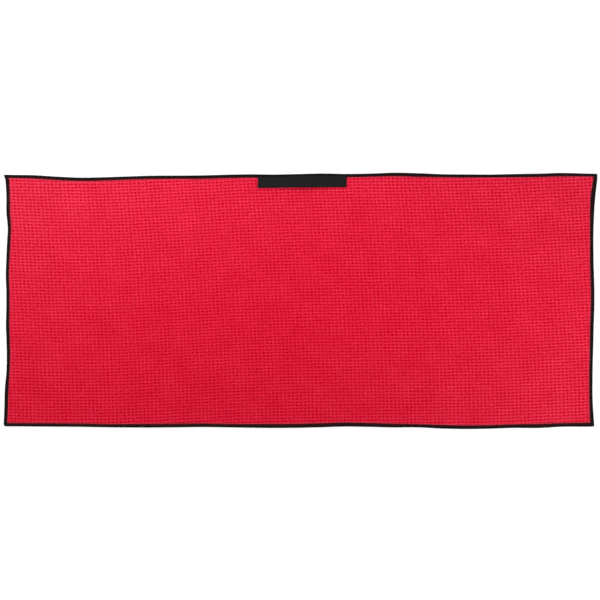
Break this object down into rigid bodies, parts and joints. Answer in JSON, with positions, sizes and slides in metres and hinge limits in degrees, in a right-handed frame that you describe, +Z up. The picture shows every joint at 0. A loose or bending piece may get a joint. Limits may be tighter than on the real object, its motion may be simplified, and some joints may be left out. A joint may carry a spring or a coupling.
{
  "type": "golf towel",
  "caption": "Rectangular red waffle-weave towel with a black overlocked edge and a webbing hanger strap sewn along one long edge; both ends fold in over the middle.",
  "frame": {"origin": "centre of the towel's underside, lying flat", "axes": "+X along the towel's length, +Y across it towards the long edge with the hanger strap, +Z up"},
  "size_m": [1.016, 0.436, 0.01],
  "materials": {
    "waffle_cloth": "matte waffle-weave microfibre",
    "overlock_thread": "matte spun polyester thread",
    "needle_thread": "matte thread",
    "strap_webbing": "flat satin webbing",
    "strap_thread": "matte thread"
  },
  "bodies": {
    "middle": {"towel_centre_panel": "waffle_cloth", "overlock_top_centre": "overlock_thread", "overlock_bottom_centre": "overlock_thread", "needle_thread_top_centre": "needle_thread", "needle_thread_bottom_centre": "needle_thread", "strap_end_left": "strap_webbing", "strap_end_right": "strap_webbing", "strap_stitches_left": "strap_thread", "strap_stitches_right": "strap_thread"},
    "left_end": {"towel_left_panel": "waffle_cloth", "overlock_left_end": "overlock_thread", "needle_thread_left_end": "needle_thread"},
    "right_end": {"towel_right_panel": "waffle_cloth", "overlock_right_end": "overlock_thread", "needle_thread_right_end": "needle_thread"},
    "strap": {"strap_middle": "strap_webbing"}
  },
  "joints": [
    {"name": "left_fold", "type": "hinge", "parent": "middle", "child": "left_end", "pos_m": [-0.298, 0, 0.0044], "axis": [0, 1, 0], "range_deg": [0, 179]},
    {"name": "right_fold", "type": "hinge", "parent": "middle", "child": "right_end", "pos_m": [0.298, 0, 0.0044], "axis": [0, -1, 0], "range_deg": [0, 179]},
    {"name": "strap_lift", "type": "slide", "parent": "middle", "child": "strap", "axis": [0, 0, 1], "range_m": [0, 0.012]}
  ]
}
